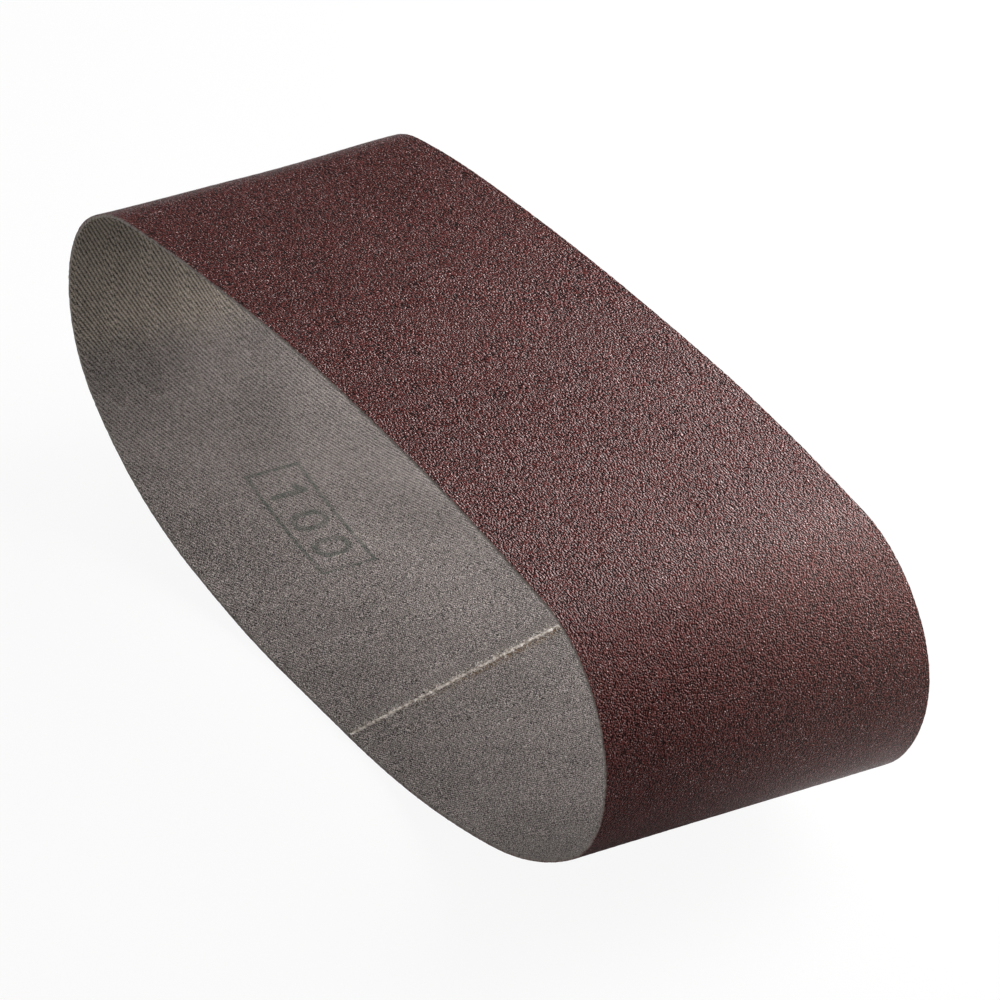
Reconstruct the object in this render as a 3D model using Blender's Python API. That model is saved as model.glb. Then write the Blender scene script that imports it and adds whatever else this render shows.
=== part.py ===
"""A sanding belt for a hand-held belt sander, lying slack on its long lower run.

The belt is a strip of twill cloth with a coat of bonded abrasive grain on its outer face. The strip's two
ends are cut on a slant, one is lapped over the other, and both are glued, which makes the endless loop.
X runs along the loop, Y across the belt and Z is up. The origin is under the middle of the belt.
"""

import math

import bmesh
import bpy
import numpy as np

MM = 0.001

# The strip, as it is cut and coated. The length is once round the cloth's inner face.
BELT_LENGTH = 533 * MM
BELT_WIDTH = 75 * MM
CLOTH_THICKNESS = 0.5 * MM
GRAIN_THICKNESS = 0.35 * MM

# How the slack loop lies: a flat spot that it rests on, two shallow lower arcs, a soft shoulder and a tight
# end on each side, and a nearly flat upper run. The lower and upper radii follow from the belt's length.
FLAT_HALF_LENGTH = 15 * MM
LOWER_TURN = math.radians(14.3)
SHOULDER_TURN = math.radians(23.6)
SHOULDER_RADIUS = 84 * MM
END_RADIUS = 28.7 * MM
UPPER_TURN = math.radians(8.0)
CHORD_SAG = 0.02 * MM

# The joint in the strip: its line crosses the lower run on a slant, and the upper ply ends in a low step.
SEAM_OFFSET = 3.7 * MM
SEAM_SLANT = math.radians(15.5)
LAP_LENGTH = 8 * MM
LAP_STEP = 0.2 * MM
STEP_FACE = 0.1 * MM

# The bead of glue and frayed thread ends along that step.
BEAD_WIDTH = 1.0 * MM
BEAD_HEIGHT = 0.35 * MM
BEAD_SEGMENTS = 5
BEAD_ROWS = 10
GLUE_FILM = 0.02 * MM

BELT_THICKNESS = CLOTH_THICKNESS + GRAIN_THICKNESS


def clear_scene():
    """Removes what the startup file put in the scene."""
    for obj in list(bpy.data.objects):
        bpy.data.objects.remove(obj, do_unlink=True)


def plain_material(name, colour, roughness):
    """A Principled material with one colour and one roughness."""
    material = bpy.data.materials.new(name)
    material.use_nodes = True
    shader = material.node_tree.nodes["Principled BSDF"]
    shader.inputs["Base Color"].default_value = (*colour, 1)
    shader.inputs["Roughness"].default_value = roughness
    shader.inputs["Metallic"].default_value = 0
    material.diffuse_color = (*colour, 1)
    return material


def half_loop_arcs():
    """Turn and radius of each arc from the flat spot up to the middle of the upper run.

    The lower and the upper radius are the two that close the half loop at X = 0 over half the belt's length.
    """
    end_turn = math.pi - LOWER_TURN - SHOULDER_TURN - UPPER_TURN
    heading = LOWER_TURN + SHOULDER_TURN
    reach = FLAT_HALF_LENGTH
    reach += SHOULDER_RADIUS * (math.sin(heading) - math.sin(LOWER_TURN))
    reach += END_RADIUS * (math.sin(UPPER_TURN) - math.sin(heading))
    spent = FLAT_HALF_LENGTH + SHOULDER_RADIUS * SHOULDER_TURN + END_RADIUS * end_turn
    lower_radius, upper_radius = np.linalg.solve(
        [[math.sin(LOWER_TURN), -math.sin(UPPER_TURN)], [LOWER_TURN, UPPER_TURN]],
        [-reach, BELT_LENGTH / 2 - spent],
    )
    return [
        (LOWER_TURN, float(lower_radius)),
        (SHOULDER_TURN, SHOULDER_RADIUS),
        (end_turn, END_RADIUS),
        (UPPER_TURN, float(upper_radius)),
    ]


def half_loop_stations():
    """(x, z, heading) from the flat spot's end to the middle of the upper run, close enough for the chords."""
    x, z, heading = FLAT_HALF_LENGTH, 0.0, 0.0
    stations = [(x, z, heading)]
    for turn, radius in half_loop_arcs():
        steps = math.ceil(turn * radius / math.sqrt(8 * radius * CHORD_SAG))
        for _ in range(steps):
            after = heading + turn / steps
            x += radius * (math.sin(after) - math.sin(heading))
            z -= radius * (math.cos(after) - math.cos(heading))
            heading = after
            stations.append((x, z, heading))
    return stations


def loop_outline(outside):
    """The loop's section as (x, z) points once round, at this distance outside the cloth's inner face."""
    right = [
        (x + outside * math.sin(heading), z - outside * math.cos(heading) + BELT_THICKNESS)
        for x, z, heading in half_loop_stations()
    ]
    right[-1] = (0.0, right[-1][1])
    left = [(-x, z) for x, z in reversed(right[:-1])]
    return right + left


def closed_wire(bm, outline, y):
    """Adds a closed polygon of edges in the plane at this Y."""
    verts = [bm.verts.new((x, y, z)) for x, z in outline]
    return [bm.edges.new((verts[i - 1], verts[i])) for i in range(len(verts))]


def finished_object(name, bm, material, collection):
    """Puts the mesh in a new object, with its faces pointing out and its long curves shaded smooth."""
    bmesh.ops.recalc_face_normals(bm, faces=bm.faces)
    mesh = bpy.data.meshes.new(name)
    bm.to_mesh(mesh)
    bm.free()
    mesh.materials.append(material)
    mesh.shade_smooth()
    mesh.set_sharp_from_angle(angle=math.radians(30))
    obj = bpy.data.objects.new(name, mesh)
    collection.objects.link(obj)
    return obj


def layer_mesh(inner, outer):
    """One layer of the belt: the ring between two section outlines, drawn across the belt's width."""
    bm = bmesh.new()
    near = -BELT_WIDTH / 2
    wires = closed_wire(bm, loop_outline(inner), near) + closed_wire(bm, loop_outline(outer), near)
    ring = bmesh.ops.bridge_loops(bm, edges=wires)["faces"]
    across = bmesh.ops.extrude_face_region(bm, geom=ring)["geom"]
    moved = [item for item in across if isinstance(item, bmesh.types.BMVert)]
    bmesh.ops.translate(bm, verts=moved, vec=(0, BELT_WIDTH, 0))
    return bm


def past_seam(point):
    """Distance of a point of the lower run from the seam line, square to it, and positive towards +X."""
    return (point.x - SEAM_OFFSET) * math.cos(SEAM_SLANT) + point.y * math.sin(SEAM_SLANT)


def lower_inner_faces(bm):
    """The faces of the cloth's inner wall in the shallow part of the lower run, which the seam crosses."""
    bm.normal_update()
    shallow = math.cos(LOWER_TURN + SHOULDER_TURN)
    return [face for face in bm.faces if face.normal.z > shallow and face.calc_center_median().z < END_RADIUS]


def parts_of(faces, kind):
    """The edges or the verts of some faces, each once and in a fixed order."""
    return list(dict.fromkeys(item for face in faces for item in getattr(face, kind)))


def cut_along_seam(bm, distance):
    """Cuts the inner wall of the lower run along a line at this distance past the seam line."""
    square = (math.cos(SEAM_SLANT), math.sin(SEAM_SLANT), 0)
    on_line = (SEAM_OFFSET + distance / math.cos(SEAM_SLANT), 0, 0)
    faces = lower_inner_faces(bm)
    geom = [*faces, *parts_of(faces, "edges"), *parts_of(faces, "verts")]
    bmesh.ops.bisect_plane(bm, geom=geom, dist=1e-7, plane_co=on_line, plane_no=square)


def raise_lapped_ply(bm):
    """Lifts the end of the upper ply into a wedge that ends in a step at the seam line."""
    for distance in (-LAP_LENGTH, 0, STEP_FACE):
        cut_along_seam(bm, distance)
    for vert in parts_of(lower_inner_faces(bm), "verts"):
        share = 1 + past_seam(vert.co) / LAP_LENGTH
        if 0 < share < 1 + STEP_FACE / LAP_LENGTH / 2:
            vert.co.z += LAP_STEP * share


def build_cloth(collection):
    """The twill cloth, with the lap at its joint."""
    bm = layer_mesh(0, CLOTH_THICKNESS)
    bmesh.ops.recalc_face_normals(bm, faces=bm.faces)
    raise_lapped_ply(bm)
    material = plain_material("twill_cloth", (0.20, 0.175, 0.155), 0.95)
    return finished_object("cloth_backing", bm, material, collection)


def build_grain(collection):
    """The bonded coat of abrasive grain on the outer face of the cloth."""
    bm = layer_mesh(CLOTH_THICKNESS, BELT_THICKNESS)
    material = plain_material("abrasive_grain", (0.13, 0.045, 0.040), 0.7)
    return finished_object("abrasive_coat", bm, material, collection)


def lower_run_rise(x):
    """How far the cloth's inner face has risen above the flat spot at this X of the lower run."""
    past_flat = max(abs(x) - FLAT_HALF_LENGTH, 0)
    radius = half_loop_arcs()[0][1]
    return radius - math.sqrt(radius**2 - past_flat**2)


def bead_section():
    """The bead's half round section at the near rim, from its edge by the step to its far edge."""
    near_line = SEAM_OFFSET + BELT_WIDTH / 2 * math.tan(SEAM_SLANT)
    section = []
    for i in range(BEAD_SEGMENTS + 1):
        turn = math.pi * i / BEAD_SEGMENTS
        across = STEP_FACE + GLUE_FILM + BEAD_WIDTH * (1 - math.cos(turn)) / 2
        height = BELT_THICKNESS + GLUE_FILM + BEAD_HEIGHT * math.sin(turn)
        section.append((near_line + across / math.cos(SEAM_SLANT), height))
    return section


def build_bead(collection):
    """The bead along the step, drawn along the seam line from rim to rim and laid on the cloth."""
    bm = bmesh.new()
    edges = closed_wire(bm, bead_section(), -BELT_WIDTH / 2)
    face = bmesh.ops.contextual_create(bm, geom=edges)["faces"]
    drawn = bmesh.ops.extrude_face_region(bm, geom=face)["geom"]
    moved = [item for item in drawn if isinstance(item, bmesh.types.BMVert)]
    bmesh.ops.translate(bm, verts=moved, vec=(-BELT_WIDTH * math.tan(SEAM_SLANT), BELT_WIDTH, 0))
    long_edges = [edge for edge in bm.edges if edge.calc_length() > BELT_WIDTH / 2]
    bmesh.ops.subdivide_edges(bm, edges=long_edges, cuts=BEAD_ROWS - 1, use_grid_fill=True)
    for vert in bm.verts:
        vert.co.z += lower_run_rise(vert.co.x)
    material = plain_material("glue_and_thread", (0.52, 0.46, 0.38), 0.8)
    return finished_object("splice_seam", bm, material, collection)


def main():
    clear_scene()
    collection = bpy.data.collections.new("sanding_belt")
    bpy.context.scene.collection.children.link(collection)
    build_cloth(collection)
    build_grain(collection)
    build_bead(collection)


main()
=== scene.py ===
# %% [markdown]
# # A sanding belt, lying slack on its long lower run
#
# The belt is a strip of resin-stiffened twill with abrasive grain bonded to its outer face. Its two slanted
# ends are lapped and glued, which makes an endless loop. This lesson dresses the measured model of such a
# belt: three plain solids become a woven cloth, a rough coat of grain and a splice with frayed threads.
#
# The measured model is loaded first, because each new piece has to lie exactly where its solid lies.

# %% Load the measured model
import math
import random

import bmesh
import bpy
import numpy as np
from mathutils import Matrix, Quaternion, Vector, noise


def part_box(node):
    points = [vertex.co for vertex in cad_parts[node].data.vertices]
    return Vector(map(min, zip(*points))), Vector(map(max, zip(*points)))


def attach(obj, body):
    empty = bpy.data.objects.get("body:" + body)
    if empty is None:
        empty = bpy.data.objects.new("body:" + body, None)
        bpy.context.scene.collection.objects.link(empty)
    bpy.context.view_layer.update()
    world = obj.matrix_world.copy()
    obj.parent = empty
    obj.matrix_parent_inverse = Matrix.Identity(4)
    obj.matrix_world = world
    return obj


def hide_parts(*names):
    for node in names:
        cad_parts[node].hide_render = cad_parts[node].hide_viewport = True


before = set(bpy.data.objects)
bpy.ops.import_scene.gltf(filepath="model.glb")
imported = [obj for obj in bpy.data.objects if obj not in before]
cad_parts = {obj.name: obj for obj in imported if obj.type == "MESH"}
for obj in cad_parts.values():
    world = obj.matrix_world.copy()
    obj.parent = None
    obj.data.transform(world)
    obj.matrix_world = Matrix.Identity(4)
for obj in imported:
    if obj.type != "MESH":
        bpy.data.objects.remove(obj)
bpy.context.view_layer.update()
print("Measured solids:", sorted(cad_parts))

# %% [markdown]
# ## The camera and the light
#
# The belt was photographed from 30 degrees above the floor and from in front of its right end. The lens is
# long, so the far end hardly shrinks. The camera is placed by the point that it looks at, two angles and a
# distance, which is easier to read than a position and a rotation. It is also rolled by two degrees.

# %% The camera
MM = 0.001

PHOTO_SIDE = 1000
FOCAL_LENGTH_IN_PIXELS = 6000
SENSOR = 36
CAMERA_AIM = Vector((-11.7, 13.8, 30.7)) * MM
CAMERA_DISTANCE = 1296 * MM
CAMERA_AZIMUTH = math.radians(58.71)
CAMERA_ELEVATION = math.radians(30.47)
CAMERA_ROLL = math.radians(1.86)


def towards(azimuth, elevation):
    """The direction from the object to something at this azimuth, counted from -Y to +X, and elevation."""
    level = math.cos(elevation)
    return Vector((math.sin(azimuth) * level, -math.cos(azimuth) * level, math.sin(elevation)))


def add_camera():
    data = bpy.data.cameras.new("photo_camera")
    data.sensor_width = SENSOR
    data.lens = FOCAL_LENGTH_IN_PIXELS / PHOTO_SIDE * SENSOR
    camera = bpy.data.objects.new("photo_camera", data)
    bpy.context.scene.collection.objects.link(camera)
    backward = towards(CAMERA_AZIMUTH, CAMERA_ELEVATION)
    camera.location = CAMERA_AIM + backward * CAMERA_DISTANCE
    camera.rotation_mode = "QUATERNION"
    camera.rotation_quaternion = backward.to_track_quat("Z", "Y") @ Quaternion((0, 0, 1), CAMERA_ROLL)
    bpy.context.scene.camera = camera
    return camera


print("Camera at", [round(value, 3) for value in add_camera().location])

# %% [markdown]
# The photograph's key light stands low behind the belt: it shines into the open loop, which makes the cloth
# inside lighter than the end that faces the camera. Three soft boxes give that light and a fourth hangs high
# behind. A card in front shines along the belt's surfaces and so lights little else than its cut rim, and the
# white surroundings fill the shadows. Their sum lights a white card near the belt to about its own colour, so
# the colours below are close to the real ones.

# %% The lamps
LAMP_SIDE = 0.4
LAMPS = {
    # name: place in metres, power in watts
    "rear_left_box": ((-0.30, 0.60, 0.20), 3.4),
    "rear_box": ((0.10, 0.35, 0.35), 1.1),
    "low_rear_box": ((0.10, 0.40, 0.20), 1.7),
    "high_box": ((0.08, 0.45, 0.88), 1.6),
    "front_card": ((0.0, -1.0, 0.10), 3.0),
}


def add_lamps():
    for name, (place, power) in LAMPS.items():
        data = bpy.data.lights.new(name, "AREA")
        data.size = LAMP_SIDE
        data.energy = power
        lamp = bpy.data.objects.new(name, data)
        bpy.context.scene.collection.objects.link(lamp)
        lamp.location = place
        lamp.rotation_mode = "QUATERNION"
        lamp.rotation_quaternion = Vector(place).to_track_quat("Z", "Y")
        lamp.visible_camera = False
    print("Lamps:", ", ".join(LAMPS))


add_lamps()

# %% [markdown]
# ## Fields: shader maths as Python sums
#
# A finish is a set of numbers that vary over a surface. Blender works them out with nodes, which are slow to
# read in a script. The class below wraps one socket, so that `1 - mask` or `ridge * height` adds the Math
# nodes by itself, and the finishes further on read like formulas.

# %% A small language for finishes
class Field:
    """A number, colour or direction that varies over a surface."""

    def __init__(self, tree, socket=None):
        self.tree = tree
        self.socket = socket

    def node(self, kind, settings=None, inputs=None, output=0):
        """One output of a new node. Its settings are made first, then its sockets get values or links."""
        node = self.tree.nodes.new(kind)
        for name, value in (settings or {}).items():
            setattr(node, name, value)
        for name, value in (inputs or {}).items():
            if isinstance(value, Field):
                self.tree.links.new(value.socket, node.inputs[name])
            else:
                node.inputs[name].default_value = value
        return Field(self.tree, node.outputs[output])

    def maths(self, operation, *values):
        return self.node("ShaderNodeMath", {"operation": operation}, dict(enumerate(values)))

    def __add__(self, other):
        return self.maths("ADD", self, other)

    def __radd__(self, other):
        return self.maths("ADD", other, self)

    def __sub__(self, other):
        return self.maths("SUBTRACT", self, other)

    def __rsub__(self, other):
        return self.maths("SUBTRACT", other, self)

    def __mul__(self, other):
        return self.maths("MULTIPLY", self, other)

    def __truediv__(self, other):
        return self.maths("DIVIDE", self, other)

    def __pow__(self, other):
        return self.maths("POWER", self, other)

    def __abs__(self):
        return self.maths("ABSOLUTE", self)

    def wave(self):
        """A smooth wave from 0 up to 1 and back, once for each whole step of this field."""
        return self.maths("COSINE", self * math.tau) * -0.5 + 0.5

    def rise(self, low, high):
        """0 below low and 1 above high, with a soft change between. It falls where low is the greater."""
        settings = {"interpolation_type": "SMOOTHSTEP"}
        return self.node("ShaderNodeMapRange", settings, {0: self, 1: low, 2: high})

    def between(self, start, end):
        """1 between two soft limits, each given as the two numbers of a rise."""
        return self.rise(*start) * self.rise(*end)

    def part(self, axis):
        return self.node("ShaderNodeSeparateXYZ", None, {0: self}, axis)

    def colour(self, low, high):
        """The colour that goes from low to high as this field goes from 0 to 1."""
        low, high = ((*value, 1) if isinstance(value, tuple) else value for value in (low, high))
        return self.node("ShaderNodeMix", {"data_type": "RGBA"}, {0: self, 6: low, 7: high}, 2)

    def scaled(self, factor):
        """This colour or direction, with each of its parts multiplied by the factor."""
        return self.node("ShaderNodeVectorMath", {"operation": "SCALE"}, {0: self, "Scale": factor})

    def mottle(self, size, detail=2.0):
        """Noise from 0 to 1 whose blots are about this size. This field is the place."""
        return self.node("ShaderNodeTexNoise", None, {"Vector": self, "Scale": 1 / size, "Detail": detail})


def new_finish(name, roughness, specular):
    """A material, its Principled shader and an empty field to grow its nodes from."""
    material = bpy.data.materials.new(name)
    material.use_nodes = True
    shader = material.node_tree.nodes["Principled BSDF"]
    shader.inputs["Roughness"].default_value = roughness
    shader.inputs["Specular IOR Level"].default_value = specular
    return material, shader, Field(material.node_tree)


def feed(shader, socket, field):
    shader.id_data.links.new(field.socket, shader.inputs[socket])


def raise_relief(shader, height):
    """Makes the shader's light follow a relief whose height is given in millimetres."""
    feed(shader, "Normal", height.node("ShaderNodeBump", None, {"Height": height, "Distance": MM}))


# %% [markdown]
# ## The stage
#
# The floor gives back half of the light that falls on it, as a matt grey table does. The camera sees it
# nearly as plain white, so the page stays clean while the belt keeps a faint shadow under it.

# %% The floor and the white surroundings
FLOOR_RADIUS = 3.0
FLOOR_SIDES = 96
FLOOR_COLOUR = (0.5, 0.5, 0.5)
SEEN_FLOOR_COLOUR = (0.95, 0.95, 0.95)
WHITE_SHARE = 0.92
WORLD_LIGHT = 0.14


def add_floor():
    bm = bmesh.new()
    bmesh.ops.create_circle(bm, cap_ends=True, radius=FLOOR_RADIUS, segments=FLOOR_SIDES)
    mesh = bpy.data.meshes.new("studio_floor")
    bm.to_mesh(mesh)
    bm.free()
    material = bpy.data.materials.new("studio_floor")
    material.use_nodes = True
    tree = material.node_tree
    tree.nodes.clear()
    field = Field(tree)
    seen = field.node("ShaderNodeLightPath", output="Is Camera Ray")
    matt = field.node("ShaderNodeBsdfDiffuse", None, {"Color": seen.colour(FLOOR_COLOUR, SEEN_FLOOR_COLOUR)})
    white = field.node("ShaderNodeEmission", None, {"Color": (1, 1, 1, 1), "Strength": 1.0})
    mixed = field.node("ShaderNodeMixShader", None, {0: seen * WHITE_SHARE, 1: matt, 2: white})
    output = tree.nodes.new("ShaderNodeOutputMaterial")
    tree.links.new(mixed.socket, output.inputs["Surface"])
    mesh.materials.append(material)
    floor = bpy.data.objects.new("studio_floor", mesh)
    bpy.context.scene.collection.objects.link(floor)


def light_the_world():
    """Plain white to the camera, and a dimmer white to everything that it lights."""
    world = bpy.data.worlds.new("white_studio")
    world.use_nodes = True
    bpy.context.scene.world = world
    background = world.node_tree.nodes["Background"]
    background.inputs["Color"].default_value = (1, 1, 1, 1)
    seen = Field(world.node_tree).node("ShaderNodeLightPath", output="Is Camera Ray")
    strength = seen * (1 - WORLD_LIGHT) + WORLD_LIGHT
    world.node_tree.links.new(strength.socket, background.inputs["Strength"])


add_floor()
light_the_world()
bpy.context.scene.view_settings.view_transform = "Standard"
print("Floor and world are set")

# %% [markdown]
# ## The loop
#
# Every piece is drawn flat first, as the strip lies before it is joined: X along it, Y across it and Z from
# the cloth's inner face out to the grain. One function then lays a flat point on the loop. The loop is made
# of arcs, the same that the measured solids follow: a flat spot, a shallow lower arc, a soft shoulder, a
# tight end and a nearly flat upper run.

# %% From the flat strip to the loop
BELT_LENGTH = 533 * MM
CLOTH_THICKNESS = 0.5 * MM
FLAT_HALF_LENGTH = 15 * MM
LOWER_TURN = math.radians(14.3)
SHOULDER_TURN = math.radians(23.6)
SHOULDER_RADIUS = 84 * MM
END_RADIUS = 28.7 * MM
UPPER_TURN = math.radians(8.0)

near_corner, far_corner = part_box("abrasive_coat")
BELT_WIDTH = far_corner[1] - near_corner[1]
BELT_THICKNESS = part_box("cloth_backing")[0][2] + CLOTH_THICKNESS
HALF_WIDTH = BELT_WIDTH / 2
HALF_LENGTH = BELT_LENGTH / 2


def half_loop_arcs():
    """Turn and radius of each arc from the flat spot up to the middle of the upper run."""
    end_turn = math.pi - LOWER_TURN - SHOULDER_TURN - UPPER_TURN
    heading = LOWER_TURN + SHOULDER_TURN
    reach = FLAT_HALF_LENGTH
    reach += SHOULDER_RADIUS * (math.sin(heading) - math.sin(LOWER_TURN))
    reach += END_RADIUS * (math.sin(UPPER_TURN) - math.sin(heading))
    spent = FLAT_HALF_LENGTH + SHOULDER_RADIUS * SHOULDER_TURN + END_RADIUS * end_turn
    lower_radius, upper_radius = np.linalg.solve(
        [[math.sin(LOWER_TURN), -math.sin(UPPER_TURN)], [LOWER_TURN, UPPER_TURN]],
        [-reach, HALF_LENGTH - spent],
    )
    return [
        (LOWER_TURN, float(lower_radius)),
        (SHOULDER_TURN, SHOULDER_RADIUS),
        (end_turn, END_RADIUS),
        (UPPER_TURN, float(upper_radius)),
    ]


ARCS = half_loop_arcs()


def once_round(along):
    """The same place of the loop, counted within half the belt's length from the flat spot's middle."""
    return (along + HALF_LENGTH) % BELT_LENGTH - HALF_LENGTH


def on_loop(along):
    """(x, z, heading) of the cloth's inner face, this far along the belt from the flat spot's middle."""
    along = once_round(along)
    left = abs(along)
    x, z, heading = min(left, FLAT_HALF_LENGTH), 0.0, 0.0
    left -= x
    for turn, radius in ARCS:
        step = min(turn, left / radius)
        x += radius * (math.sin(heading + step) - math.sin(heading))
        z -= radius * (math.cos(heading + step) - math.cos(heading))
        heading += step
        left -= step * radius
    return math.copysign(x, along), z, math.copysign(heading, along)


def laid(point):
    """Where a point of the flat strip comes to lie on the loop."""
    x, z, heading = on_loop(point.x)
    return Vector(
        (x + point.z * math.sin(heading), point.y, z - point.z * math.cos(heading) + BELT_THICKNESS)
    )


print("Arcs (degrees, mm):", [(round(math.degrees(turn), 1), round(radius / MM, 1)) for turn, radius in ARCS])

# %% [markdown]
# A slack belt is never a perfect extrusion. Stiff cloth keeps a slight memory of its roll, so the runs wave
# by a few tenths of a millimetre. The waves fade out where the belt lies on the floor. The rims of this belt
# are also creased at four places, which its outline in the photograph shows. The strip is closed into a ring
# by welding its two ends, so whatever moves them has to come out the same at both.

# %% Slight waves in the runs
WAVE_HEIGHT = 0.35 * MM
WAVE_LENGTH = 45 * MM
FLOOR_CLEARANCE = (1.5 * MM, 14 * MM)
FLOOR_GAP = 0.01 * MM
WELD_DISTANCE = MM / 1000
BULGES = [
    # place along and across the belt, reach along and across, and height, all in mm
    (-190, 40, 40, 22, 1.6),
    (140, 40, 16, 22, 1.5),
    (-65, -40, 12, 22, 0.45),
    (-165, -40, 9, 22, -0.6),
]


def bulge(along, across):
    """How far a rim swells outward at a place of the strip, where the cloth was creased."""
    rise = 0
    for middle, rim, reach, depth, height in BULGES:
        distance = (once_round(along - middle * MM) / reach) ** 2 + ((across - rim * MM) / depth) ** 2
        rise += height * MM * math.exp(-distance / MM**2)
    return rise


def waved(place, flat):
    """Moves a place of the loop outward or inward a little, by an amount that changes slowly."""
    heading = on_loop(flat.x)[2]
    low, high = FLOOR_CLEARANCE
    share = min(max((place.z - low) / (high - low), 0), 1)
    amount = noise.noise(place / WAVE_LENGTH) * WAVE_HEIGHT * share + bulge(flat.x, flat.y)
    return place + Vector((math.sin(heading), 0, -math.cos(heading))) * amount


def lay_strip(bm):
    """Bends a flat strip round the loop, with its slight waves, and closes it into a ring."""
    for vert in bm.verts:
        vert.co = waved(laid(vert.co), vert.co)
        vert.co.z = max(vert.co.z, FLOOR_GAP)
    bmesh.ops.remove_doubles(bm, verts=bm.verts, dist=WELD_DISTANCE)
    bmesh.ops.recalc_face_normals(bm, faces=bm.faces)


# %% [markdown]
# The strip itself is a fine grid for the face that shows. Its rims are extruded down to the glue line, and
# the face that is hidden there has only a few rows, so nearly all triangles go where they are seen. The grid
# may lean, so that its lines follow the ribs of the twill. The flat places are kept as the UV map.

# %% One layer of the belt as a closed ring
HIDDEN_ROWS = 8
CLOSE = MM / 100


def on_rim(vert):
    return abs(vert.co.y) > HALF_WIDTH - CLOSE


def along_rim(edge):
    first, second = edge.verts
    return on_rim(first) and abs(first.co.y - second.co.y) < CLOSE


def flat_strip(columns, rows, lean, face, back):
    """A flat layer, open at its two ends. Its fine face lies at the height face, its hidden one at back."""
    bm = bmesh.new()
    bmesh.ops.create_grid(bm, x_segments=columns, y_segments=rows, size=0.5)
    bmesh.ops.scale(bm, vec=(BELT_LENGTH, BELT_WIDTH, 1), verts=bm.verts)
    bmesh.ops.translate(bm, vec=(0, 0, face), verts=bm.verts)
    rims = [edge for edge in bm.edges if along_rim(edge)]
    walls = bmesh.ops.extrude_edge_only(bm, edges=rims)["geom"]
    for item in walls:
        if isinstance(item, bmesh.types.BMVert):
            item.co.z = back
    inner_rims = [item for item in walls if isinstance(item, bmesh.types.BMEdge) and along_rim(item)]
    bands = bmesh.ops.bridge_loops(bm, edges=inner_rims)["edges"]
    bmesh.ops.subdivide_edges(bm, edges=bands, cuts=HIDDEN_ROWS - 1, use_grid_fill=True)
    places = bm.loops.layers.uv.new("flat_place")
    for vert in bm.verts:
        vert.co.x += vert.co.y * lean
        past_rim = math.copysign(abs(vert.co.z - face), vert.co.y)
        for loop in vert.link_loops:
            loop[places].uv = (vert.co.x, vert.co.y + past_rim)
    return bm


EDGE_ANGLE = math.radians(50)


def finished(name, bm, material, node):
    """Makes the piece from its mesh, hangs it under the root body and hides the measured solid that it
    replaces.
    """
    mesh = bpy.data.meshes.new(name)
    bm.to_mesh(mesh)
    bm.free()
    mesh.materials.append(material)
    mesh.shade_smooth()
    mesh.set_sharp_from_angle(angle=EDGE_ANGLE)
    piece = bpy.data.objects.new(name, mesh)
    bpy.context.scene.collection.objects.link(piece)
    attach(piece, "root")
    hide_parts(node)
    mesh.calc_loop_triangles()
    print(name, "has", len(mesh.loop_triangles), "triangles")
    return piece


# %% [markdown]
# ## The splice line
#
# The strip's ends are cut on a slant, so that the joint runs over a drum little by little. Several steps need
# the distance of a point from that line, square to it. The upper ply rises in a long wedge up to the line
# and ends there in a low step.

# %% The splice line
SEAM_OFFSET = 3.7 * MM
SEAM_SLANT = math.radians(15.5)
LAP_LENGTH = 8 * MM
LAP_STEP = 0.2 * MM
LAP_END = 0.7 * MM
BEAD_WIDTH = 1.0 * MM


def past_seam(along, across):
    """Distance past the splice line, square to it and positive towards +X. It takes numbers or fields."""
    return (along - SEAM_OFFSET) * math.cos(SEAM_SLANT) + across * math.sin(SEAM_SLANT)


def lap_rise(along, across):
    """How far the lapped ply stands up from the cloth: a long wedge that ends at the splice."""
    distance = past_seam(along, across)
    if distance <= 0:
        return LAP_STEP * max(1 + distance / LAP_LENGTH, 0)
    return LAP_STEP * max(1 - distance / LAP_END, 0)


# %% [markdown]
# ## The twill cloth
#
# Twill shows slanted ribs, 0.8 mm apart, because each warp yarn floats over two weft yarns and each next one
# starts a step later. The ribs are real relief here: the grid leans along them and has four columns to a rib.
# The belt holds a whole number of ribs, and the grid leans by a whole number of columns from rim to rim, so
# the pattern closes.

# %% The cloth strip
RIBS_ROUND = 320
COLUMNS_PER_RIB = 4
CLOTH_ROWS = 64
RIB_LEAN_COLUMNS = 325
RIB_HEIGHT = 0.06 * MM
RIM_FRAY = 0.12 * MM
FRAY_LENGTH = 0.9 * MM

CLOTH_COLUMNS = RIBS_ROUND * COLUMNS_PER_RIB
RIB_STEP = BELT_LENGTH / RIBS_ROUND
RIB_LEAN = RIB_LEAN_COLUMNS * BELT_LENGTH / CLOTH_COLUMNS / BELT_WIDTH


def fray_rims(bm, amount, seed):
    """Moves the rims in and out a little, as scissors leave them."""
    for vert in bm.verts:
        if on_rim(vert):
            place = laid(vert.co)
            pull = noise.noise(Vector((place.x / FRAY_LENGTH, place.z / FRAY_LENGTH, vert.co.y / MM + seed)))
            vert.co.y += pull * amount


def build_cloth():
    bm = flat_strip(CLOTH_COLUMNS, CLOTH_ROWS, RIB_LEAN, 0, CLOTH_THICKNESS)
    for vert in bm.verts:
        if vert.co.z < CLOTH_THICKNESS / 2:
            ridge = math.cos(math.tau * (vert.co.x - vert.co.y * RIB_LEAN) / RIB_STEP)
            vert.co.z -= ridge * RIB_HEIGHT / 2 + lap_rise(vert.co.x, vert.co.y)
    fray_rims(bm, RIM_FRAY, seed=0.0)
    lay_strip(bm)
    return bm


# %% [markdown]
# ## The printed mark
#
# A mark is printed on the cloth in thin ink: a frame with the plain number 100. It needs no picture. Each
# stroke is the set of places that lie near a line, so a digit is a formula for the distance to its line, and
# the nearest of several lines wins.

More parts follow.
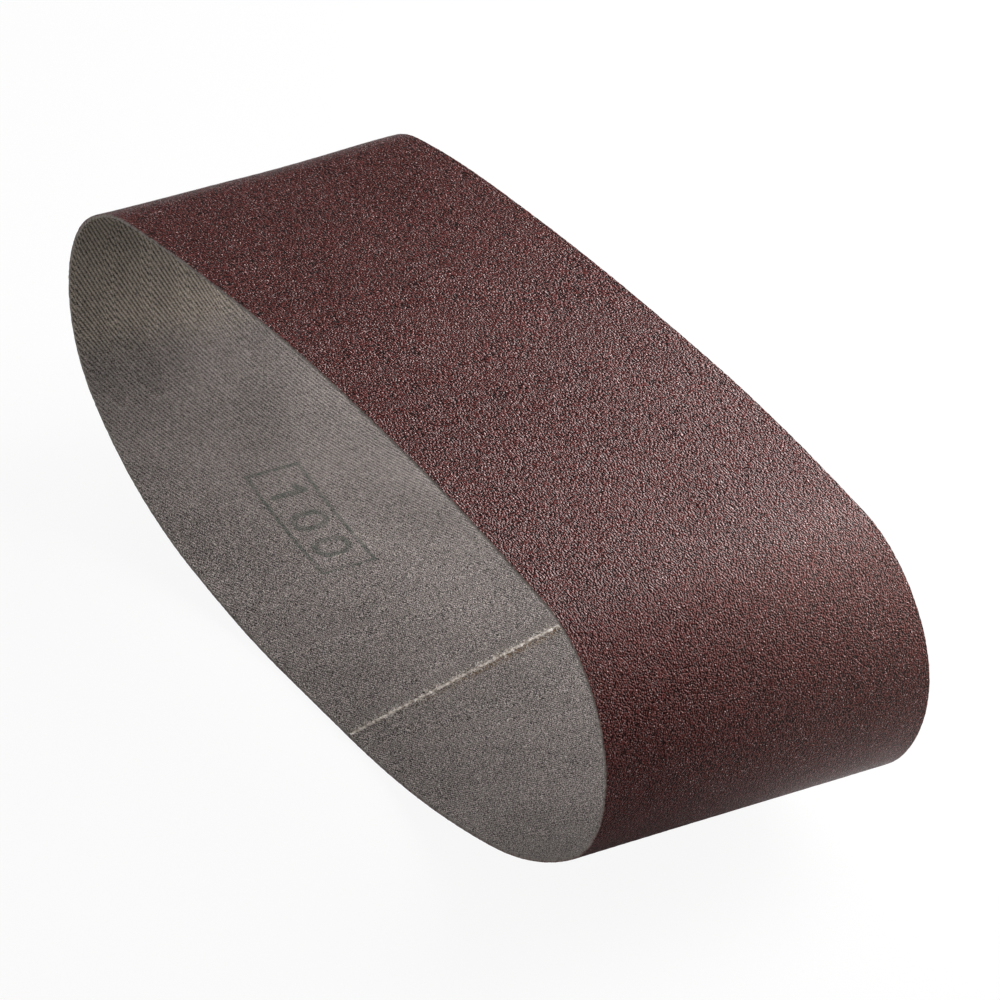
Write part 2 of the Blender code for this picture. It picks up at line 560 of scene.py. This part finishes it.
# %% Strokes and digits
DIGIT_HALF_HEIGHT = 3.9
DIGIT_HALF_WIDTH = 2.5
ONE_STEM = 0.2
ONE_FLAG = (-1.8, -1.5)
INK_EDGE = 0.5


def stroke(distance, width):
    """1 on a line of this width, where distance is how far a point lies from the line's middle."""
    return abs(distance).rise(width / 2 + INK_EDGE / 2, width / 2 - INK_EDGE / 2)


def largest(first, second):
    return first.maths("MAXIMUM", first, second)


def smallest(first, second):
    return first.maths("MINIMUM", first, second)


def length_of(x, y):
    return (x * x + y * y) ** 0.5


def segment(x, y, start, end):
    """How far a point is from a straight stroke between two points."""
    run = (end[0] - start[0], end[1] - start[1])
    share = ((x - start[0]) * run[0] + (y - start[1]) * run[1]) / (run[0] ** 2 + run[1] ** 2)
    share = share.node("ShaderNodeClamp", None, {0: share})
    return length_of(x - start[0] - share * run[0], y - start[1] - share * run[1])


def digit_one(x, y):
    """A stem with a short flag at its top."""
    top = (ONE_STEM, DIGIT_HALF_HEIGHT)
    stem = segment(x, y, (ONE_STEM, -DIGIT_HALF_HEIGHT), top)
    flag = segment(x, y, top, (ONE_STEM + ONE_FLAG[0], DIGIT_HALF_HEIGHT + ONE_FLAG[1]))
    return smallest(stem, flag)


def digit_nought(x, y):
    """An upright ring: a short stadium outline."""
    past_straight = largest(abs(y) - (DIGIT_HALF_HEIGHT - DIGIT_HALF_WIDTH), 0)
    return abs(length_of(x, past_straight) - DIGIT_HALF_WIDTH)


# %% [markdown]
# The digits stand side by side in the frame, and the largest of all the strokes' inks is what is printed. The
# whole mark is turned by a degree, as a hand-held stamp leaves it.

# %% The mark
DIGITS = (digit_one, digit_nought, digit_nought)
DIGIT_SPACING = 9.8
DIGIT_STROKE = 1.6
MARK_CENTRE = (-60.9, -5.8)
MARK_TURN = math.radians(1.1)
MARK_HALF_SIZE = (17.6, 6.6)
MARK_LINE = 0.95


def printed_mark(along, across):
    """1 where the ink lies. The places are in millimetres on the flat strip."""
    cos, sin = math.cos(MARK_TURN), math.sin(MARK_TURN)
    x = (along - MARK_CENTRE[0]) * cos + (across - MARK_CENTRE[1]) * sin
    y = (across - MARK_CENTRE[1]) * cos - (along - MARK_CENTRE[0]) * sin
    frame_line = largest(abs(x) - MARK_HALF_SIZE[0], abs(y) - MARK_HALF_SIZE[1])
    ink = stroke(frame_line, MARK_LINE)
    for index, digit in enumerate(DIGITS):
        middle = (index - (len(DIGITS) - 1) / 2) * DIGIT_SPACING
        ink = largest(ink, stroke(digit(x - middle, y), DIGIT_STROKE))
    return ink


# %% [markdown]
# ## The cloth's finish
#
# The finish follows the flat places in the UV map, so the ribs stay straight in the strip. Ridge tops are
# pale where the yarns rub, and the furrows between them are painted dark, painted shade. Single fibres make a
# fuzz, which is strong in the near right part and weak in the far left part, where the ribs show best. Slubs
# are the thicker spots of a yarn. All sizes are in millimetres, and each pair of limits is given in the order
# of a rise.

# %% The weave as fields
YARNS_PER_RIB = 3
RIB_WANDER = 0.2
WEFT_WANDER = 0.4
FIBRE_SIZE = 0.20
SLUB_SIZE = 0.9
WANDER_SIZE = 2.5
BLOTCH_SIZE = 20
NEAR_DIRECTION = (0.74, -0.45)
NEAR_PART = (-62, -18)
FAR_FUZZ = 0.25


def weave(along, across, solid):
    """The parts of the weave by name. Only the ridges run from 0 to 1. The others lie around 0."""
    step = RIB_STEP / MM
    wander = solid.mottle(WANDER_SIZE) - 0.5
    nearness = solid.part("X") * NEAR_DIRECTION[0] + solid.part("Y") * NEAR_DIRECTION[1]
    fibre = solid.mottle(FIBRE_SIZE, detail=0.0) - 0.5
    return {
        "ridge": 1 - ((along - across * RIB_LEAN) / step + wander * RIB_WANDER).wave(),
        "weft": (along * YARNS_PER_RIB / step + wander * WEFT_WANDER).wave() - 0.5,
        "fuzz": fibre * (nearness.rise(*NEAR_PART) * (1 - FAR_FUZZ) + FAR_FUZZ),
        "slub": solid.mottle(SLUB_SIZE) - 0.5,
        "blotch": solid.mottle(BLOTCH_SIZE, detail=3.0) - 0.5,
    }


def in_shares(parts, shares):
    """The sum of some parts, each in its share."""
    return sum(parts[name] * share for name, share in shares.items())


# %% [markdown]
# Three things lie over the weave. The ink lies on the ridges first and is thin in patches. Brown glue has
# soaked into the cloth beside the splice. The cut rims show the pale inside of the yarns. The left end is
# painted lighter and yellower, dust with painted light, and the right half of the lower run is painted
# darker, painted shade.

# %% The cloth's colours and relief
CLOTH_COLOUR = (0.215, 0.188, 0.176)
DUST_AND_PAINTED_LIGHT_COLOUR = (0.285, 0.248, 0.210)
INK_COLOUR = (0.060, 0.080, 0.066)
STAIN_COLOUR = (0.17, 0.105, 0.055)
CUT_EDGE_COLOUR = (0.36, 0.32, 0.29)

RELIEF_SHARES = {"ridge": 0.030, "weft": 0.025, "fuzz": 0.24, "slub": 0.050}
TONE_SHARES = {"weft": 0.25, "fuzz": 9.5, "slub": 1.2, "blotch": 0.8}
# Rib tone: ridge tops paler from rubbing, furrows darker as painted shade, stronger at the left end.
RIB_WEAR_AND_SHADE = 0.6
LEFT_END_RIB_WEAR_AND_SHADE = 0.5
DARKEST_TONE = 0.12

# The left end is lighter and yellower: dust and painted light. The right half of the lower run is darker:
# painted shade.
DUST_AND_PAINTED_LIGHT_RUN = ((-112, -126), (-190, -160))
PAINTED_SHADE_RUN = ((-75, 35), (150, 100))
PAINTED_SHADE_SHARE = 0.28

INK_PATCH_SIZE = 3.0
INK_PATCHES = (0.36, 0.60)
THIN_INK = 0.6
INK_SLUBS = (-0.2, 0.15)
INK_SHARES = {"slub": 0.4, "ridge": 0.4, "furrow": 0.1}

STAIN_PAST_SEAM = ((0.6, 1.0), (3.4, 1.4))
STAIN_SIDE = (-34, 12)
STAIN_SLUBS = (-0.15, 0.1)
STAIN_SHARE = 0.8

CLOTH_RIM = (HALF_WIDTH / MM - 0.12, HALF_WIDTH / MM + 0.02)
RIM_SLUBS = (-0.3, 0.15)
RIM_SHARE = 0.9


def ink_left(solid, parts):
    """How much of the ink is left on the cloth."""
    patch = solid.mottle(INK_PATCH_SIZE, detail=1.0).rise(*INK_PATCHES) * (1 - THIN_INK) + THIN_INK
    slub = parts["slub"].rise(*INK_SLUBS) * INK_SHARES["slub"]
    return (slub + parts["ridge"] * INK_SHARES["ridge"] + INK_SHARES["furrow"]) * patch


def twill_finish():
    material, shader, field = new_finish("twill_cloth", roughness=0.9, specular=0.2)
    flat = field.node("ShaderNodeTexCoord", output="UV")
    solid = field.node("ShaderNodeTexCoord", output="Object").scaled(1 / MM)
    along, across = flat.part("X") / MM, flat.part("Y") / MM
    parts = weave(along, across, solid)

    # Dust and painted light at the left end, painted shade on the right half of the lower run.
    dust_and_painted_light = along.between(*DUST_AND_PAINTED_LIGHT_RUN)
    painted_shade = along.between(*PAINTED_SHADE_RUN)
    # Pale rubbed ridges, and furrows darkened as painted shade.
    rib_wear_and_shade = (parts["ridge"] - 0.5) * (dust_and_painted_light * LEFT_END_RIB_WEAR_AND_SHADE + RIB_WEAR_AND_SHADE)
    tone = largest(in_shares(parts, TONE_SHARES) + rib_wear_and_shade + 1, DARKEST_TONE)
    colour = dust_and_painted_light.colour(CLOTH_COLOUR, DUST_AND_PAINTED_LIGHT_COLOUR).scaled(tone * (1 - painted_shade * PAINTED_SHADE_SHARE))

    ink = printed_mark(along, across) * ink_left(solid, parts)
    colour = ink.colour(colour, INK_COLOUR)
    past = past_seam(flat.part("X"), flat.part("Y")) / MM
    stain = past.between(*STAIN_PAST_SEAM) * across.rise(*STAIN_SIDE) * parts["slub"].rise(*STAIN_SLUBS)
    colour = (stain * STAIN_SHARE).colour(colour, STAIN_COLOUR)
    rim = abs(across).rise(*CLOTH_RIM) * parts["slub"].rise(*RIM_SLUBS)
    colour = (rim * RIM_SHARE).colour(colour, CUT_EDGE_COLOUR)

    feed(shader, "Base Color", colour)
    raise_relief(shader, in_shares(parts, RELIEF_SHARES))
    return material


cloth = finished("twill_cloth_strip", build_cloth(), twill_finish(), "cloth_backing")

# %% [markdown]
# ## The abrasive grain
#
# Crushed aluminium oxide is scattered on wet resin and sealed with more resin, which leaves a crust of tiny
# dark red lumps with bright facets. The coarse lumps are real relief, drawn with the mesh library's noise,
# and what is finer than a grid square is left to the finish.

# %% The coat of grain
GRAIN_COLUMNS = 880
GRAIN_ROWS = 98
LUMP_SIZE = 1.1 * MM
LUMP_HEIGHT = 0.05 * MM
LUMP_SINK = 0.35
GRAIN_FRAY = 0.10 * MM


def build_coat():
    bm = flat_strip(GRAIN_COLUMNS, GRAIN_ROWS, 0, BELT_THICKNESS, CLOTH_THICKNESS)
    face_verts = [vert for vert in bm.verts if vert.co.z > (BELT_THICKNESS + CLOTH_THICKNESS) / 2]
    for vert in face_verts:
        place = laid(vert.co)
        vert.co.z += (noise.noise(place / LUMP_SIZE) - LUMP_SINK) * LUMP_HEIGHT
    fray_rims(bm, GRAIN_FRAY, seed=3.7)
    lay_strip(bm)
    return bm


# %% [markdown]
# The finish draws the fine lumps twice from one noise: as relief, and as colour from nearly black resin up
# to red grain. The lumps lie slightly longer along the belt. A second noise picks the few facets that are
# painted pale, as painted glints. The shader's glints are tinted red, because most of them are seen through
# the red resin. The right end has painted light and a little pale dust towards its far corner and painted
# shade towards the near one. On the underside a thin dark line shows where the two plies meet.

# %% The grain's finish
RESIN_COLOUR = (0.010, 0.0010, 0.0008)
LUMP_COLOUR = (0.137, 0.032, 0.029)
# Pale facets: painted glints.
PAINTED_GLINT_COLOUR = (0.75, 0.55, 0.54)
COAT_EDGE_COLOUR = (0.32, 0.27, 0.24)
COAT_DUST_AND_LIGHT_COLOUR = (0.38, 0.35, 0.31)
GLINT_TINT = (1, 0.42, 0.38, 1)

LUMP_SIZES = (0.49, 0.36, 0.31)
LUMP_LEVELS = (-0.05, 0.05)
LUMP_RELIEF = 0.35
PAINTED_GLINTS_PER_LUMP = 1.37
PAINTED_GLINT_LEVELS = (0.18, 0.32)
COAT_BLOTCH_SIZE = 14
COAT_BLOTCH_TONE = 0.3

RIGHT_END = (70, 105)
FAR_SIDE = (-30, 35)
# The right end: painted shade towards the near corner, painted light towards the far one.
NEAR_CORNER_PAINTED_SHADE = -0.16
FAR_CORNER_PAINTED_LIGHT = 0.22
# Pale dust mixed in towards the far corner: dust and painted light.
COAT_DUST_AND_LIGHT_SHARE = 0.10

JOINT_LINE = 0.5
JOINT_SHARE = 0.7
COAT_RIM = (HALF_WIDTH / MM - 0.02, HALF_WIDTH / MM + 0.08)
EDGE_SPOT_SIZE = 0.9
EDGE_SPOTS = (0.2, 0.65)


def grain_finish():
    material, shader, field = new_finish("abrasive_grain", roughness=0.3, specular=0.26)
    shader.inputs["Specular Tint"].default_value = GLINT_TINT
    solid = field.node("ShaderNodeTexCoord", output="Object").scaled(1 / MM)
    flat = field.node("ShaderNodeTexCoord", output="UV")

    grit = solid.node("ShaderNodeVectorMath", {"operation": "DIVIDE"}, {0: solid, 1: LUMP_SIZES})
    lump = grit.mottle(1, detail=0.0) - 0.5
    # The pale facets are painted glints.
    painted_glint = grit.scaled(PAINTED_GLINTS_PER_LUMP).mottle(1, detail=0.0) - 0.5
    colour = lump.rise(*LUMP_LEVELS).colour(RESIN_COLOUR, LUMP_COLOUR)
    colour = painted_glint.rise(*PAINTED_GLINT_LEVELS).colour(colour, PAINTED_GLINT_COLOUR)

    blotch = solid.mottle(COAT_BLOTCH_SIZE, detail=3.0) - 0.5
    end, far = solid.part("X").rise(*RIGHT_END), solid.part("Y").rise(*FAR_SIDE)
    # Painted light and shade on the right end, then pale dust with painted light at its far corner.
    painted_light_and_shade = end * (far * (FAR_CORNER_PAINTED_LIGHT - NEAR_CORNER_PAINTED_SHADE) + NEAR_CORNER_PAINTED_SHADE)
    colour = colour.scaled((blotch * COAT_BLOTCH_TONE + 1) * (painted_light_and_shade + 1))
    colour = (end * far * COAT_DUST_AND_LIGHT_SHARE).colour(colour, COAT_DUST_AND_LIGHT_COLOUR)

    joint = stroke(past_seam(flat.part("X"), flat.part("Y")) / MM, JOINT_LINE)
    colour = (joint * JOINT_SHARE).colour(colour, RESIN_COLOUR)
    rim = abs(flat.part("Y") / MM).rise(*COAT_RIM) * solid.mottle(EDGE_SPOT_SIZE).rise(*EDGE_SPOTS)
    colour = (rim * RIM_SHARE).colour(colour, COAT_EDGE_COLOUR)

    feed(shader, "Base Color", colour)
    raise_relief(shader, lump * LUMP_RELIEF)
    return material


coat = finished("grain_coat_strip", build_coat(), grain_finish(), "abrasive_coat")

# %% [markdown]
# ## The splice
#
# Where the upper ply ends, glue was squeezed out and the cut yarns stand up as short pale threads. They are a
# low bead of glue along the line and nearly a thousand thin tapering threads, drawn flat and laid like the
# rest.

# %% The bead of glue
BEAD_SIDES = 8
BEAD_CUTS = 150
BEAD_HALF_HEIGHT = 0.22 * MM
BEAD_LUMPS = 0.6 * MM
BEAD_FULLNESS = 0.85
BEAD_SWELL = 0.55
BEAD_SWAY = 0.25
SWELL_ROW = Vector((0, 0, 5))
SWAY_ROW = Vector((9, 0, 0))


def bead_mesh(bm):
    """A rod along Y, cut into short lengths, flattened and made lumpy."""
    lengthwise = Matrix.Rotation(math.radians(90), 4, "X")
    made = bmesh.ops.create_cone(
        bm, cap_ends=True, segments=BEAD_SIDES, radius1=0.5, radius2=0.5, depth=1, matrix=lengthwise
    )["verts"]
    bmesh.ops.scale(bm, vec=(BEAD_WIDTH, BELT_WIDTH - 2 * RIM_FRAY, 2 * BEAD_HALF_HEIGHT), verts=made)
    sides = [edge for edge in bm.edges if edge.calc_length() > HALF_WIDTH]
    bmesh.ops.subdivide_edges(bm, edges=sides, cuts=BEAD_CUTS, use_grid_fill=True)
    for vert in bm.verts:
        place = Vector((0, vert.co.y / BEAD_LUMPS, 0))
        swell = noise.noise(place + SWELL_ROW) * BEAD_SWELL + BEAD_FULLNESS
        sway = noise.noise(place + SWAY_ROW) * BEAD_WIDTH * BEAD_SWAY
        vert.co.x = vert.co.x * swell + sway
        vert.co.z = vert.co.z * swell


# %% [markdown]
# Each thread end is a thin cone with four sides, thrown at random on the line and turned at random. All the
# chances come from one seed, so every run makes the same threads.

# %% The thread ends
THREADS = 950
THREAD_SEED = 4
THREAD_SIDES = 4
THREAD_RADIUS = (0.07 * MM, 0.03 * MM)
THREAD_LENGTH = (0.5 * MM, 1.6 * MM)
THREAD_SPREAD = 0.7 * BEAD_WIDTH
THREAD_REACH = 0.995
THREAD_LIFT = (0.5, 1.1)
THREAD_SPIN = 0.9
THREAD_TILT = 0.2


def thread_mesh(bm):
    """Short tapering threads that lie across the line, most of them nearly flat on the cloth."""
    chance = random.Random(THREAD_SEED)
    for _ in range(THREADS):
        length = chance.uniform(*THREAD_LENGTH)
        off_line = chance.gauss(0, THREAD_SPREAD)
        across = chance.uniform(-THREAD_REACH, THREAD_REACH) * HALF_WIDTH
        height = -BEAD_HALF_HEIGHT * chance.uniform(*THREAD_LIFT)
        spin = Matrix.Rotation(chance.gauss(0, THREAD_SPIN), 4, "Z")
        tilt = Matrix.Rotation(chance.gauss(math.pi / 2, THREAD_TILT), 4, "Y")
        bmesh.ops.create_cone(
            bm,
            cap_ends=True,
            segments=THREAD_SIDES,
            radius1=THREAD_RADIUS[0],
            radius2=THREAD_RADIUS[1],
            depth=length,
            matrix=Matrix.Translation((off_line, across, height)) @ (spin @ tilt),
        )


def build_splice():
    bm = bmesh.new()
    bead_mesh(bm)
    thread_mesh(bm)
    for vert in bm.verts:
        vert.co.y = min(max(vert.co.y, -HALF_WIDTH), HALF_WIDTH)
        seam = SEAM_OFFSET - vert.co.y * math.tan(SEAM_SLANT)
        vert.co.x = seam + (vert.co.x + BEAD_WIDTH / 2) / math.cos(SEAM_SLANT)
        vert.co.z -= RIB_HEIGHT / 2
    lay_strip(bm)
    return bm


# %% [markdown]
# One noise decides where pale thread shows and where the darker glue does. A finer one gives the fluff of the
# cut yarns.

# %% The splice's finish
GLUE_COLOUR = (0.34, 0.29, 0.24)
THREAD_COLOUR = (0.80, 0.74, 0.69)
THREAD_SPOT_SIZE = 0.8
THREAD_SPOTS = (0.36, 0.60)
FLUFF_SIZE = 0.25
FLUFF_RELIEF = 0.08


def splice_finish():
    material, shader, field = new_finish("glue_and_thread", roughness=0.75, specular=0.3)
    solid = field.node("ShaderNodeTexCoord", output="Object").scaled(1 / MM)
    thread = solid.mottle(THREAD_SPOT_SIZE, detail=3.0).rise(*THREAD_SPOTS)
    feed(shader, "Base Color", thread.colour(GLUE_COLOUR, THREAD_COLOUR))
    raise_relief(shader, solid.mottle(FLUFF_SIZE) * FLUFF_RELIEF)
    return material


finished("splice_glue_and_threads", build_splice(), splice_finish(), "splice_seam")

# %% [markdown]
# ## The end
#
# The three new pieces stand in for the measured solids, which are hidden.

print("All pieces are built")
